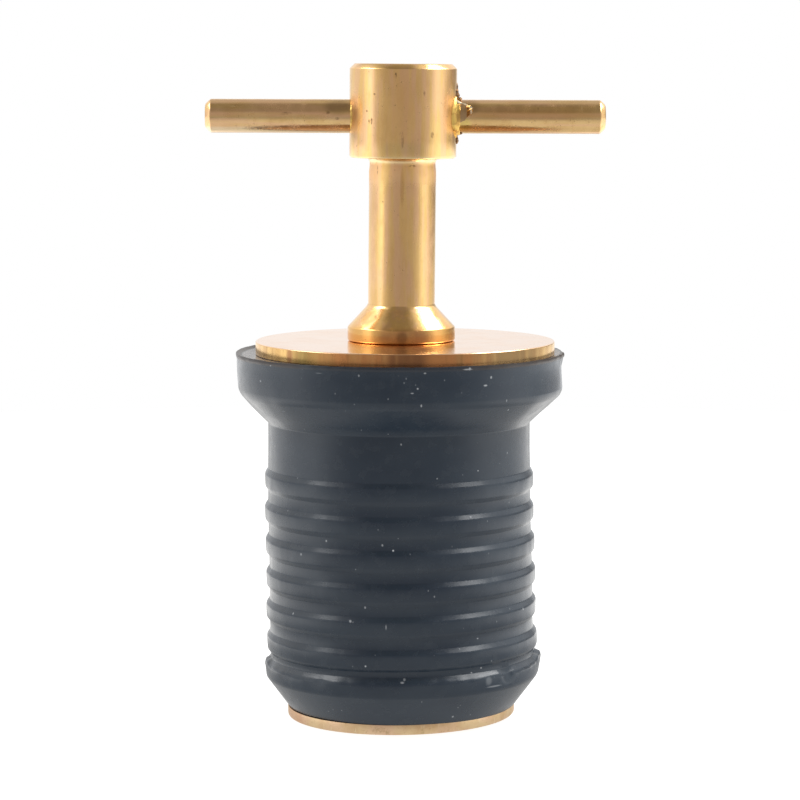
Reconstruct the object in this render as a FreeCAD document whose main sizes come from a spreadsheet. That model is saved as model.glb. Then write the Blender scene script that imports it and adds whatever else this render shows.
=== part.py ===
"""Deck drain plug: a ribbed rubber bung squeezed between two brass washers by a T handle.

The bottom washer carries a riveted stud that passes up through the bung and the top washer. The
handle stem is a long nut on that stud: turned clockwise, it presses the top washer down and the bung
swells in the drain. Millimetres. The plug stands on the XY plane with its axis on +Z, and the cross
bar lies along X. The bung and the washers follow the drain, here a nominal 1-1/4 inch one.
"""

import FreeCAD
import Part
import Sketcher
import os

# Driving sizes, each the value of one cell in the document's sheet

SIZES = {
    # Stud and the parts it passes through
    "stud_diameter": 5.0,
    "stud_tip_bevel": 0.6,
    "stud_engagement_length": 11.0,
    "rivet_head_diameter": 7.6,
    "rivet_head_depth": 0.9,
    "rivet_recess_depth": 0.1,
    "rivet_clearance": 0.02,
    # Rubber bung: reaches are measured out from the smooth core
    "drain_diameter": 31.75,
    "bung_length": 41.25,
    "bung_bore_clearance": 0.3,
    "nose_height": 3.3,
    "nose_taper_depth": 2.775,
    "lead_rib_depth": 0.825,
    "lead_rib_land": 2.35,
    "lead_rib_slope_height": 0.35,
    "lead_rib_gap": 1.4,
    "rib_depth": 0.45,
    "rib_land": 1.6,
    "rib_upper_slope_height": 0.3,
    "rib_lower_slope_height": 0.45,
    "rib_pitch": 3.75,
    "rib_count": 6,
    "shoulder_height": 3.6,
    "flange_width": 3.6,
    "flange_height": 4.5,
    "flange_bevel": 0.45,
    "lip_width": 0.25,
    "lip_height": 0.5,
    # Brass washers
    "bottom_washer_thickness": 1.2,
    "bottom_washer_bevel": 0.25,
    "bare_rim_width": 1.25,
    "top_washer_thickness": 1.3,
    "top_washer_bevel": 0.2,
    "top_washer_clearance": 0.9,
    "top_washer_offset": 0.6,
    # Handle stem
    "foot_diameter": 12.4,
    "foot_height": 1.6,
    "foot_bevel": 0.35,
    "neck_height": 2.55,
    "stem_diameter": 7.7,
    "stem_length": 21.2,
    "relief_depth": 0.1,
    "relief_height": 1.55,
    "boss_diameter": 12.3,
    "boss_height": 10.45,
    "boss_bevel": 0.5,
    "thread_clearance": 0.05,
    "tapped_hole_floor_thickness": 2.2,
    "tapped_entry_diameter": 5.8,
    "drill_point_angle": 118.0,
    # Cross bar
    "bar_diameter": 3.85,
    "bar_length": 45.8,
    "bar_height": 4.55,
    "bar_offset": 0.26,
    "bar_bevel_length": 0.75,
    "bar_bevel_depth": 0.55,
    "bar_clearance": 0.02,
}

FULL_TURN = 360
ENTRY_CONE_ANGLE = 90
X_AXIS_INDEX = -1
Y_AXIS_INDEX = -2
ORIGIN_INDEX = -1
START_INDEX = 1
END_INDEX = 2
CENTRE_INDEX = 3
EDGE_TOLERANCE = 0.001

# Shared radii, and the heights at which the parts are stacked, as expressions on the sheet

DRAIN_RADIUS = "sizes.drain_diameter / 2"
CORE_RADIUS = f"({DRAIN_RADIUS} - sizes.lead_rib_depth)"
FLANGE_RADIUS = f"({CORE_RADIUS} + sizes.flange_width)"
BOTTOM_WASHER_RADIUS = f"({DRAIN_RADIUS} - sizes.nose_taper_depth)"
TOP_WASHER_RADIUS = f"({FLANGE_RADIUS} - sizes.bare_rim_width)"
STUD_RADIUS = "sizes.stud_diameter / 2"
RIVET_HEAD_RADIUS = "sizes.rivet_head_diameter / 2"
RIVET_HOLE_RADIUS = f"({STUD_RADIUS} + sizes.rivet_clearance)"

BUNG_SEAT = "sizes.bottom_washer_thickness"
TOP_WASHER_SEAT = f"{BUNG_SEAT} + sizes.bung_length"
STEM_SEAT = f"{TOP_WASHER_SEAT} + sizes.top_washer_thickness"
BAR_AXIS = "sizes.stem_length + sizes.bar_height"

doc = FreeCAD.newDocument("deck_drain_plug")


def make_sheet():
    """Put every driving size in a cell of its own, with its name as the cell's alias."""
    sheet = doc.addObject("Spreadsheet::Sheet", "sizes")
    for row, (name, value) in enumerate(SIZES.items(), start=1):
        sheet.set(f"A{row}", name)
        sheet.set(f"B{row}", str(value))
        sheet.setAlias(f"B{row}", name)
    doc.recompute()
    return sheet


def value_of(expression):
    """The present value of an expression on the sheet, as a plain number."""
    return float(sheet.evalExpression(expression))


# Bodies, sketches and features

def new_body(name):
    """A body whose label is the sub-part's name."""
    body = doc.addObject("PartDesign::Body", name)
    body.Label = name
    return body


def origin_part(body, role):
    """One of the body's own origin planes or axes."""
    return next(feature for feature in body.Origin.OriginFeatures if feature.Role == role)


def new_sketch(body, name, plane):
    """An empty sketch on one of the body's origin planes."""
    sketch = body.newObject("Sketcher::SketchObject", name)
    sketch.AttachmentSupport = [(origin_part(body, plane), "")]
    sketch.MapMode = "FlatFace"
    return sketch


def pin_point(sketch, line, end, across, up):
    """Hold one point of a sketch at two expressions, or on an axis where one of them is zero."""
    for kind, axis, expression in (
        ("DistanceX", Y_AXIS_INDEX, across),
        ("DistanceY", X_AXIS_INDEX, up),
    ):
        if expression == "0":
            sketch.addConstraint(Sketcher.Constraint("PointOnObject", line, end, axis))
            continue
        distance = Sketcher.Constraint(kind, ORIGIN_INDEX, START_INDEX, line, end, value_of(expression))
        index = sketch.addConstraint(distance)
        sketch.setExpression(f"Constraints[{index}]", expression)


def outline_sketch(body, name, corners):
    """A closed outline on the XZ plane: each corner is its distance from the axis and its height."""
    sketch = new_sketch(body, name, "XZ_Plane")
    points = [FreeCAD.Vector(value_of(across), value_of(up), 0) for across, up in corners]
    lines = range(len(corners))
    for line in lines:
        sketch.addGeometry(Part.LineSegment(points[line], points[(line + 1) % len(points)]))
    for line in lines:
        following = (line + 1) % len(points)
        sketch.addConstraint(Sketcher.Constraint("Coincident", line, END_INDEX, following, START_INDEX))
    for line, (across, up) in enumerate(corners):
        pin_point(sketch, line, START_INDEX, across, up)
    return sketch


def circle_sketch(body, name, plane, radius, up="0"):
    """One circle on an origin plane, on the plane's upright axis."""
    sketch = new_sketch(body, name, plane)
    centre = FreeCAD.Vector(0, value_of(up), 0)
    circle = Part.Circle(centre, FreeCAD.Vector(0, 0, 1), value_of(radius))
    line = sketch.addGeometry(circle)
    pin_point(sketch, line, CENTRE_INDEX, "0", up)
    index = sketch.addConstraint(Sketcher.Constraint("Radius", line, value_of(radius)))
    sketch.setExpression(f"Constraints[{index}]", radius)
    return sketch


def turn(body, name, corners):
    """Revolve an outline about the body's vertical axis."""
    revolution = body.newObject("PartDesign::Revolution", name)
    revolution.Profile = outline_sketch(body, f"{name}_outline", corners)
    revolution.ReferenceAxis = (origin_part(body, "Z_Axis"), [""])
    revolution.Angle = FULL_TURN
    doc.recompute()
    return revolution


def pad(body, name, sketch, length):
    """Pad a sketch upwards by an expression."""
    feature = body.newObject("PartDesign::Pad", name)
    feature.Profile = sketch
    feature.setExpression("Length", length)
    doc.recompute()
    return feature


def rim_edges(feature, radius, height):
    """Names of the full circles of one radius about the vertical axis at one height."""
    names = []
    for number, edge in enumerate(feature.Shape.Edges, start=1):
        if not isinstance(edge.Curve, Part.Circle):
            continue
        centre = edge.Curve.Center
        same_radius = abs(edge.Curve.Radius - value_of(radius)) < EDGE_TOLERANCE
        same_height = abs(centre.z - value_of(height)) < EDGE_TOLERANCE
        if same_radius and same_height:
            names.append(f"Edge{number}")
    return names


def bevel(body, name, base, edges, size):
    """Chamfer some edges of the feature before."""
    chamfer = body.newObject("PartDesign::Chamfer", name)
    chamfer.Base = (base, edges)
    chamfer.setExpression("Size", size)
    doc.recompute()
    return chamfer


def place(body, up, across="0"):
    """Stand a finished body at its height on the plug's axis, or beside it."""
    body.setExpression("Placement.Base.z", up)
    body.setExpression("Placement.Base.x", across)


# Sub-parts, from the bottom up

def make_bottom_washer():
    """Disc under the bung, countersunk from below for the stud's riveted end."""
    body = new_body("bottom_washer")
    disc_outline = circle_sketch(body, "disc_outline", "XY_Plane", BOTTOM_WASHER_RADIUS)
    disc = pad(body, "disc", disc_outline, "sizes.bottom_washer_thickness")

    rivet_seat = body.newObject("PartDesign::Groove", "rivet_seat")
    rivet_seat.Profile = outline_sketch(body, "rivet_seat_outline", [
        ("0", "0"),
        (RIVET_HEAD_RADIUS, "0"),
        (RIVET_HOLE_RADIUS, "sizes.rivet_head_depth"),
        (RIVET_HOLE_RADIUS, "sizes.bottom_washer_thickness"),
        ("0", "sizes.bottom_washer_thickness"),
    ])
    rivet_seat.ReferenceAxis = (origin_part(body, "Z_Axis"), [""])
    rivet_seat.Angle = FULL_TURN
    doc.recompute()

    lower_edge = rim_edges(rivet_seat, BOTTOM_WASHER_RADIUS, "0")
    body.Tip = bevel(body, "rim_bevel", rivet_seat, lower_edge, "sizes.bottom_washer_bevel")
    return body


def make_threaded_stud():
    """Stud with a riveted cone at its foot, up through the bung into the stem."""
    body = new_body("threaded_stud")
    cone_left = "(1 - sizes.rivet_recess_depth / sizes.rivet_head_depth)"
    head_radius = f"{STUD_RADIUS} + ({RIVET_HEAD_RADIUS} - {RIVET_HOLE_RADIUS}) * {cone_left}"
    tip = f"{STEM_SEAT} + sizes.stud_engagement_length - sizes.rivet_recess_depth"
    body.Tip = turn(body, "shank", [
        ("0", "0"),
        (head_radius, "0"),
        (STUD_RADIUS, "sizes.rivet_head_depth - sizes.rivet_recess_depth"),
        (STUD_RADIUS, f"{tip} - sizes.stud_tip_bevel"),
        (f"{STUD_RADIUS} - sizes.stud_tip_bevel", tip),
        ("0", tip),
    ])
    place(body, "sizes.rivet_recess_depth")
    return body


def make_rubber_body():
    """Moulded bung: tapered nose, wide lead rib, row of ribs, smooth band, shoulder and flange."""
    body = new_body("rubber_body")
    bore = f"{STUD_RADIUS} + sizes.bung_bore_clearance"
    lip = f"{FLANGE_RADIUS} + sizes.lip_width"
    lead_top = "sizes.nose_height + sizes.lead_rib_land"
    flange_foot = "sizes.bung_length - sizes.flange_height"
    lip_foot = "sizes.bung_length - sizes.lip_height"
    bung = turn(body, "bung", [
        (bore, "0"),
        (BOTTOM_WASHER_RADIUS, "0"),
        (DRAIN_RADIUS, "sizes.nose_height"),
        (DRAIN_RADIUS, lead_top),
        (CORE_RADIUS, f"{lead_top} + sizes.lead_rib_slope_height"),
        (CORE_RADIUS, f"{flange_foot} - sizes.shoulder_height"),
        (FLANGE_RADIUS, flange_foot),
        (FLANGE_RADIUS, f"{lip_foot} - sizes.lip_width"),
        (lip, lip_foot),
        (lip, "sizes.bung_length"),
        (bore, "sizes.bung_length"),
    ])
    flange_edge = rim_edges(bung, FLANGE_RADIUS, flange_foot)
    bevel(body, "flange_bevel", bung, flange_edge, "sizes.flange_bevel")

    # The rib's outline starts as far inside the core as it reaches outside, on the same two slopes
    crest = f"{CORE_RADIUS} + sizes.rib_depth"
    root = f"{CORE_RADIUS} - sizes.rib_depth"
    land_foot = f"{lead_top} + sizes.lead_rib_gap"
    land_top = f"{land_foot} + sizes.rib_land"
    rib = turn(body, "rib", [
        (root, f"{land_foot} - 2 * sizes.rib_lower_slope_height"),
        (crest, land_foot),
        (crest, land_top),
        (root, f"{land_top} + 2 * sizes.rib_upper_slope_height"),
    ])
    rib_row = body.newObject("PartDesign::LinearPattern", "rib_row")
    rib_row.Originals = [rib]
    rib_row.Direction = (origin_part(body, "Z_Axis"), [""])
    rib_row.Mode = "Spacing"
    rib_row.setExpression("Offset", "sizes.rib_pitch")
    rib_row.setExpression("Occurrences", "sizes.rib_count")
    body.Tip = rib_row
    place(body, BUNG_SEAT)
    return body


def make_top_washer():
    """Disc on the bung, loose round the stud and seen a little off centre."""
    body = new_body("top_washer")
    hole_radius = f"{STUD_RADIUS} + sizes.top_washer_clearance"
    disc_outline = circle_sketch(body, "disc_outline", "XY_Plane", TOP_WASHER_RADIUS)
    disc = pad(body, "disc", disc_outline, "sizes.top_washer_thickness")

    stud_hole = body.newObject("PartDesign::Pocket", "stud_hole")
    stud_hole.Profile = circle_sketch(body, "stud_hole_outline", "XY_Plane", hole_radius)
    stud_hole.Type = "ThroughAll"
    stud_hole.Reversed = True
    doc.recompute()

    lower_edge = rim_edges(stud_hole, TOP_WASHER_RADIUS, "0")
    upper_edge = rim_edges(stud_hole, TOP_WASHER_RADIUS, "sizes.top_washer_thickness")
    rim_bevels = bevel(
        body, "rim_bevels", stud_hole, lower_edge + upper_edge, "sizes.top_washer_bevel"
    )
    body.Tip = rim_bevels
    place(body, TOP_WASHER_SEAT, across="sizes.top_washer_offset")
    return body


def make_handle_stem():
    """Turned stem: foot, flared neck, relief and boss, cross-drilled and tapped from below."""
    body = new_body("handle_stem")
    foot = "sizes.foot_diameter / 2"
    shaft = "sizes.stem_diameter / 2"
    relief = f"{shaft} - sizes.relief_depth"
    boss = "sizes.boss_diameter / 2"
    relief_foot = "sizes.stem_length - sizes.relief_height"
    boss_top = "sizes.stem_length + sizes.boss_height"
    turned = turn(body, "turned_blank", [
        ("0", "0"),
        (foot, "0"),
        (foot, "sizes.foot_height"),
        (shaft, "sizes.foot_height + sizes.neck_height"),
        (shaft, relief_foot),
        (relief, relief_foot),
        (relief, "sizes.stem_length"),
        (boss, "sizes.stem_length"),
        (boss, boss_top),
        ("0", boss_top),
    ])
    foot_edge = rim_edges(turned, foot, "0")
    foot_bevel = bevel(body, "foot_bevel", turned, foot_edge, "sizes.foot_bevel")
    boss_edge = rim_edges(foot_bevel, boss, boss_top)
    bevel(body, "boss_bevel", foot_bevel, boss_edge, "sizes.boss_bevel")

    cross_hole = body.newObject("PartDesign::Pocket", "cross_hole")
    bar_hole_radius = "sizes.bar_diameter / 2 + sizes.bar_clearance"
    cross_hole.Profile = circle_sketch(
        body, "cross_hole_outline", "YZ_Plane", bar_hole_radius, up=BAR_AXIS
    )
    cross_hole.SideType = "Symmetric"
    cross_hole.setExpression("Length", "sizes.boss_diameter")
    doc.recompute()

    tapped_hole_radius = f"({STUD_RADIUS} + sizes.thread_clearance)"
    tapped_hole = body.newObject("PartDesign::Hole", "tapped_hole")
    tapped_hole.Profile = circle_sketch(body, "tapped_hole_centre", "XY_Plane", tapped_hole_radius)
    tapped_hole.Reversed = True
    tapped_hole.DepthType = "Dimension"
    tapped_hole.DrillPoint = "Angled"
    tapped_hole.HoleCutType = "Countersink"
    tapped_hole.HoleCutCustomValues = True
    tapped_hole.HoleCutCountersinkAngle = ENTRY_CONE_ANGLE
    tapped_hole.setExpression("Diameter", f"2 * {tapped_hole_radius}")
    tapped_hole.setExpression("Depth", "sizes.stem_length - sizes.tapped_hole_floor_thickness")
    tapped_hole.setExpression("DrillPointAngle", "sizes.drill_point_angle")
    tapped_hole.setExpression("HoleCutDiameter", "sizes.tapped_entry_diameter")
    doc.recompute()
    body.Tip = tapped_hole
    place(body, STEM_SEAT)
    return body


def make_cross_bar():
    """Rod through the boss, bevelled at both ends."""
    body = new_body("cross_bar")
    rod = body.newObject("PartDesign::Pad", "rod")
    rod.Profile = circle_sketch(body, "rod_outline", "YZ_Plane", "sizes.bar_diameter / 2")
    rod.SideType = "Symmetric"
    rod.setExpression("Length", "sizes.bar_length")
    doc.recompute()

    end_bevels = body.newObject("PartDesign::Chamfer", "end_bevels")
    ends = [
        f"Edge{number}"
        for number, edge in enumerate(rod.Shape.Edges, start=1)
        if isinstance(edge.Curve, Part.Circle)
    ]
    end_bevels.Base = (rod, ends)
    end_bevels.ChamferType = "Two distances"
    end_bevels.setExpression("Size", "sizes.bar_bevel_length")
    end_bevels.setExpression("Size2", "sizes.bar_bevel_depth")
    doc.recompute()
    body.Tip = end_bevels
    place(body, f"{STEM_SEAT} + {BAR_AXIS}", across="sizes.bar_offset")
    return body


def check_document():
    """Stop if any object of the document failed to compute."""
    for item in doc.Objects:
        if "Invalid" in item.State or "Error" in item.State:
            raise RuntimeError(f"{item.Name} failed: {item.State}")


def export(bodies):
    """Write each sub-part's solid to a file named after it."""
    for body in bodies:
        if body.Shape.isNull() or not body.Shape.isValid():
            raise RuntimeError(f"{body.Label} has no valid shape")
    os.makedirs("parts", exist_ok=True)
    for body in bodies:
        body.Shape.exportStep(f"parts/{body.Label}.step")
        print(f"{body.Label}: {len(body.Shape.Solids)} solid, {body.Shape.Volume:.1f} mm3")


sheet = make_sheet()
plug = [
    make_bottom_washer(),
    make_threaded_stud(),
    make_rubber_body(),
    make_top_washer(),
    make_handle_stem(),
    make_cross_bar(),
]
doc.recompute()
check_document()
export(plug)
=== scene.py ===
"""The deck drain plug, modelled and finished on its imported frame.

Metres in the plug's own frame: it stands on Z = 0 with its axis up Z and its cross bar along X.
The picture is taken from -Y. Outlines are written in millimetres, as (radius, height) corners.
"""

import math

import bmesh
import bpy
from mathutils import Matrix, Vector


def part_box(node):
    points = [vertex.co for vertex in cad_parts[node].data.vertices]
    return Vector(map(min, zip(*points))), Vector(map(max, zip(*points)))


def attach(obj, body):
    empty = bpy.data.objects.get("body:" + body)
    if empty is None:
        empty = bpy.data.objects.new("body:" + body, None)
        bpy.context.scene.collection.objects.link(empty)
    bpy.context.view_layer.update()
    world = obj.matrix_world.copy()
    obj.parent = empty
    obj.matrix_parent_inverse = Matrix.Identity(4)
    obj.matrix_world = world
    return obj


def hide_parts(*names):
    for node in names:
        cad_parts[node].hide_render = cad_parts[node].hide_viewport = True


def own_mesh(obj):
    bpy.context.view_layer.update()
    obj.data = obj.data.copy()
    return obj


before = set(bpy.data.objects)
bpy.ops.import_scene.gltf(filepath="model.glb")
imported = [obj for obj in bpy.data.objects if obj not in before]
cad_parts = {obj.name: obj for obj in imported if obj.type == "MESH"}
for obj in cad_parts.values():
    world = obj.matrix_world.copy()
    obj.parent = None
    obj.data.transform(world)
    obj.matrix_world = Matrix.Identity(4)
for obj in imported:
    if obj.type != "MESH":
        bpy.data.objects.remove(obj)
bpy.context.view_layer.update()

MM = 0.001
# How close a vertex lies to a ring that is named, and how close two that are merged lie
WITHIN = 0.012 * MM
SAME_PLACE = WITHIN / 10
FACETS = 192
SMOOTH_UNDER = math.radians(32)


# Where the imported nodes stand

def heights(node):
    """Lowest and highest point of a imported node, in millimetres."""
    low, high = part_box(node)
    return low.z / MM, high.z / MM


BUNG_FOOT, BUNG_TOP = heights("rubber_body")
WASHER_FOOT, WASHER_TOP = heights("top_washer")
STEM_FOOT, STEM_TOP = heights("handle_stem")
STUD_FOOT, STUD_TOP = heights("threaded_stud")
BAR_LOW, BAR_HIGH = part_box("cross_bar")
BAR_AXIS = (BAR_LOW.z + BAR_HIGH.z) / 2 / MM
BAR_LEFT = BAR_LOW.x / MM
BAR_RIGHT = BAR_HIGH.x / MM
TOP_WASHER_CENTRE = sum(corner.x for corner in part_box("top_washer")) / 2 / MM

# What several pieces share: how far the top washer is pressed into the bung, the boss, the bar,
# the rim of the stem's foot, the stem's lean and the bar's tilt
PRESSED_IN = 0.25
BOSS_RADIUS = 6.15
BOSS_FOOT = 64.78
BOSS_TOP = STEM_TOP + 0.1
BAR_RADIUS = 1.935
FOOT_RIM = 1.6
LEAN = math.radians(0.5)
TILT = math.radians(0.2)
BOSS_SHIFT = math.tan(LEAN) * (BAR_AXIS - STEM_FOOT - FOOT_RIM)


# Modelling, as by hand

def deselect():
    bpy.ops.object.select_all(action="DESELECT")


def take(piece):
    """Make a piece the only one selected, and active."""
    deselect()
    piece.select_set(True)
    bpy.context.view_layer.objects.active = piece


def edit(piece):
    take(piece)
    bpy.ops.object.mode_set(mode="EDIT")
    bpy.ops.mesh.select_mode(type="VERT")


def done():
    bpy.ops.object.mode_set(mode="OBJECT")


def settle(piece):
    """Put a piece's place, turn and size into its mesh."""
    take(piece)
    bpy.ops.object.transform_apply(location=True, rotation=True, scale=True)


def modify(piece, kind, **settings):
    """Add one modifier to a piece and apply it."""
    take(piece)
    modifier = piece.modifiers.new(kind, kind)
    for name, value in settings.items():
        setattr(modifier, name, value)
    bpy.ops.object.modifier_apply(modifier=modifier.name)


def pick(piece, wanted):
    """In edit mode, select the vertices whose place passes a test, and what lies between them."""
    bpy.ops.mesh.select_all(action="DESELECT")
    mesh = bmesh.from_edit_mesh(piece.data)
    for vertex in mesh.verts:
        vertex.select_set(wanted(vertex.co))
    mesh.select_flush(True)
    bmesh.update_edit_mesh(piece.data)


def smooth(piece, even=True, under=SMOOTH_UNDER):
    """Shade smooth except across edges sharper than an angle, and keep the flat faces flat."""
    take(piece)
    bpy.ops.object.shade_smooth_by_angle(angle=under)
    if even:
        modify(piece, "WEIGHTED_NORMAL", keep_sharp=True)


def turned(name, outline, centre=0.0, facets=FACETS):
    """Turn an outline round a vertical axis, one ring after another.

    A radius of nothing closes the form on the axis. An outline that ends where it started is a
    ring.
    """
    across = centre * MM
    closed = outline[0] == outline[-1]
    tip = outline[0][1] if outline[0][0] == 0 else None
    rings = outline if tip is None else outline[1:]
    radius, height = rings[0]
    deselect()
    bpy.ops.mesh.primitive_circle_add(
        vertices=facets, radius=radius * MM, location=(across, 0, height * MM)
    )
    piece = bpy.context.object
    piece.name = name
    settle(piece)
    edit(piece)
    for next_radius, next_height in rings[1:]:
        rise = (next_height - height) * MM
        bpy.ops.mesh.extrude_region_move(TRANSFORM_OT_translate={"value": (0, 0, rise)})
        share = next_radius / radius
        axis = (across, 0, next_height * MM)
        bpy.ops.transform.resize(value=(share, share, 1), center_override=axis)
        radius, height = next_radius, next_height
        if radius == 0:
            bpy.ops.mesh.merge(type="CENTER")
    if tip is not None:
        bpy.ops.mesh.select_all(action="DESELECT")
        mesh = bmesh.from_edit_mesh(piece.data)
        mesh.verts.ensure_lookup_table()
        for vertex in mesh.verts[:facets]:
            vertex.select_set(True)
        mesh.select_flush(True)
        rise = (tip - rings[0][1]) * MM
        bpy.ops.mesh.extrude_region_move(TRANSFORM_OT_translate={"value": (0, 0, rise)})
        bpy.ops.mesh.merge(type="CENTER")
    if closed:
        bpy.ops.mesh.select_all(action="SELECT")
        bpy.ops.mesh.remove_doubles(threshold=SAME_PLACE)
    bpy.ops.mesh.select_all(action="SELECT")
    bpy.ops.mesh.normals_make_consistent(inside=False)
    done()
    return piece


def ease(piece, rings, size, segments=3, centre=0.0):
    """Round some of a turned piece's edges, named by their radius and height."""

    def on_ring(place):
        reach = math.hypot(place.x - centre * MM, place.y)
        return any(
            abs(reach - radius * MM) < WITHIN and abs(place.z - height * MM) < WITHIN
            for radius, height in rings
        )

    edit(piece)
    pick(piece, on_ring)
    bpy.ops.mesh.bevel(offset=size * MM, segments=segments, affect="EDGES", clamp_overlap=True)
    done()


def from_axis(place):
    """Distance of a place from the plug's axis."""
    return math.hypot(place.x, place.y)


def near(place, size):
    """A test for the vertices within a size of a place, in millimetres."""
    spot = Vector(place) * MM
    return lambda point: (point - spot).length < size * MM


def level_with(height, size):
    """A test for the vertices within a size of a height, in millimetres."""
    return lambda point: abs(point.z - height * MM) < size * MM


def limited(value):
    """A value kept between 0 and 1."""
    return max(0.0, min(1.0, value))


def push(piece, wanted, shift, reach):
    """Move some of a surface and drag along what lies within a reach of it, in millimetres."""
    edit(piece)
    pick(piece, wanted)
    bpy.ops.transform.translate(
        value=Vector(shift) * MM,
        use_proportional_edit=True,
        proportional_edit_falloff="SMOOTH",
        proportional_size=reach * MM,
    )
    done()


def lay_along_bar(piece):
    """Lay a piece that was turned about its own height along the bar."""
    piece.rotation_euler = (0, math.pi / 2 + TILT, 0)
    piece.location = (BOSS_SHIFT * MM, 0, BAR_AXIS * MM)
    settle(piece)


def displace(piece, wanted, **settings):
    """Move a surface along its normals or an axis, all over or as far as a test says."""
    if wanted is not None:
        group = piece.vertex_groups.new(name="moved")
        for vertex in piece.data.vertices:
            weight = wanted(vertex.co / MM)
            if weight > 0:
                group.add([vertex.index], min(1.0, weight), "REPLACE")
        settings["vertex_group"] = group.name
    modify(piece, "DISPLACE", **settings)
    piece.vertex_groups.clear()


def roughen(piece, amount, grain, wanted=None, detail=2):
    """Make a surface uneven by an amount and a grain in millimetres."""
    clouds = bpy.data.textures.new("unevenness", "CLOUDS")
    clouds.noise_scale = grain * MM
    clouds.noise_depth = detail
    displace(
        piece, wanted, texture=clouds, texture_coords="LOCAL", strength=amount * MM, mid_level=0.5
    )


# Finishes

# Sockets of the Mix node that are told apart by number alone
MIX_SHARE, MIX_FIRST, MIX_SECOND = 0, 6, 7
MIX_RESULT = 2


class Wire:
    """A socket of a node tree. Arithmetic on it adds Math nodes, and node() adds any other node."""

    def __init__(self, tree, socket=None):
        self.tree = tree
        self.socket = socket

    def node(self, kind, settings=None, sockets=None, out=0):
        """Add a node, its settings first and then the values or links of its sockets."""
        added = self.tree.nodes.new(f"ShaderNode{kind}")
        for name, value in (settings or {}).items():
            if name == "stops":
                ramp = added.color_ramp
                while len(ramp.elements) < len(value):
                    ramp.elements.new(1.0)
                for stop, (position, colour) in zip(ramp.elements, value):
                    stop.position = position
                    stop.color = (*colour, 1.0)
            else:
                setattr(added, name, value)
        for name, value in (sockets or {}).items():
            if isinstance(value, Wire):
                self.tree.links.new(value.socket, added.inputs[name])
            else:
                added.inputs[name].default_value = value
        return Wire(self.tree, added.outputs[out] if len(added.outputs) else None)

    def math(self, operation, *values):
        return self.node("Math", {"operation": operation}, dict(enumerate(values)))

    def __add__(self, other):
        return self.math("ADD", self, other)

    def __sub__(self, other):
        return self.math("SUBTRACT", self, other)

    def __mul__(self, other):
        return self.math("MULTIPLY", self, other)

    def __truediv__(self, other):
        return self.math("DIVIDE", self, other)

    def __radd__(self, other):
        return self.math("ADD", other, self)

    def __rsub__(self, other):
        return self.math("SUBTRACT", other, self)

    def __rmul__(self, other):
        return self.math("MULTIPLY", other, self)

    def fade(self, start, end, low=0.0, high=1.0):
        """A soft step from one value to another as this one goes from start to end."""
        return self.node(
            "MapRange",
            {"interpolation_type": "SMOOTHSTEP", "clamp": True},
            {0: self, 1: start, 2: end, 3: low, 4: high},
        )

    def blend(self, first, second):
        """This value as the share of the second colour in the first."""
        return self.node(
            "Mix",
            {"data_type": "RGBA"},
            {MIX_SHARE: self, MIX_FIRST: as_rgba(first), MIX_SECOND: as_rgba(second)},
            out=MIX_RESULT,
        )

    def stretched(self, scale, offset=(0, 0, 0)):
        """These coordinates in grains per millimetre on each axis."""
        return self.node(
            "Mapping",
            {},
            {"Vector": self, "Scale": [share / MM for share in scale], "Location": offset},
        )

    def noise(self, scale, detail=2.0, roughness=0.5, offset=(0, 0, 0)):
        """Noise on these coordinates, with a scale in grains per millimetre on each axis."""
        return self.node(
            "TexNoise",
            {},
            {
                "Vector": self.stretched(scale, offset),
                "Scale": 1.0,
                "Detail": detail,
                "Roughness": roughness,
            },
        )

    def part(self, axis):
        """One of these coordinates."""
        return self.node("SeparateXYZ", {}, {0: self}, out=axis)

    def reach(self):
        """How far these coordinates are from the upright axis."""
        x = self.part(0)
        y = self.part(1)
        return self.math("SQRT", x * x + y * y)

    def sibling(self, out):
        """Another output of the node that this value comes from."""
        return Wire(self.tree, self.socket.node.outputs[out])

    def spot(self, place, size):
        """1 at a place, fading to 0 over a size on each axis, in millimetres."""
        shifted = self.node(
            "VectorMath",
            {"operation": "SUBTRACT"},
            {0: self, 1: [share * MM for share in place]},
        )
        shrunk = shifted.node(
            "VectorMath",
            {"operation": "DIVIDE"},
            {0: shifted, 1: [share * MM for share in size]},
        )
        far = shrunk.node("VectorMath", {"operation": "LENGTH"}, {0: shrunk}, out="Value")
        return far.fade(1.0, 0.45)


def as_rgba(colour):
    return colour if isinstance(colour, Wire) else (*colour, 1.0)


def most(*wires):
    """The largest of several values."""
    first, *others = wires
    for other in others:
        first = first.math("MAXIMUM", first, other)
    return first


class Finish:
    """A material on one shader, with the coordinates that its patterns are read from."""

    def __init__(self, name, **constants):
        self.material = bpy.data.materials.new(name)
        self.material.use_nodes = True
        self.tree = self.material.node_tree
        self.shader = self.tree.nodes["Principled BSDF"]
        for socket, value in constants.items():
            self.shader.inputs[socket.replace("_", " ")].default_value = value
        self.place = Wire(self.tree).node("TexCoord", out="Object")

    def set(self, socket, wire):
        self.tree.links.new(wire.socket, self.shader.inputs[socket])

    def bump(self, height, depth):
        """Relief from a height of 0 to 1 that is some millimetres deep."""
        sockets = {"Height": height, "Distance": depth * MM, "Strength": 1.0}
        self.set("Normal", height.node("Bump", {}, sockets))


GOLD = (0.88, 0.575, 0.225)
PALE_GOLD = (0.91, 0.68, 0.36)
ROSE_GOLD = (0.85, 0.52, 0.32)
BROWN_GOLD = (0.62, 0.36, 0.13)
RED_BROWN = (0.42, 0.205, 0.095)
OXIDE = (0.16, 0.085, 0.035)


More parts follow.
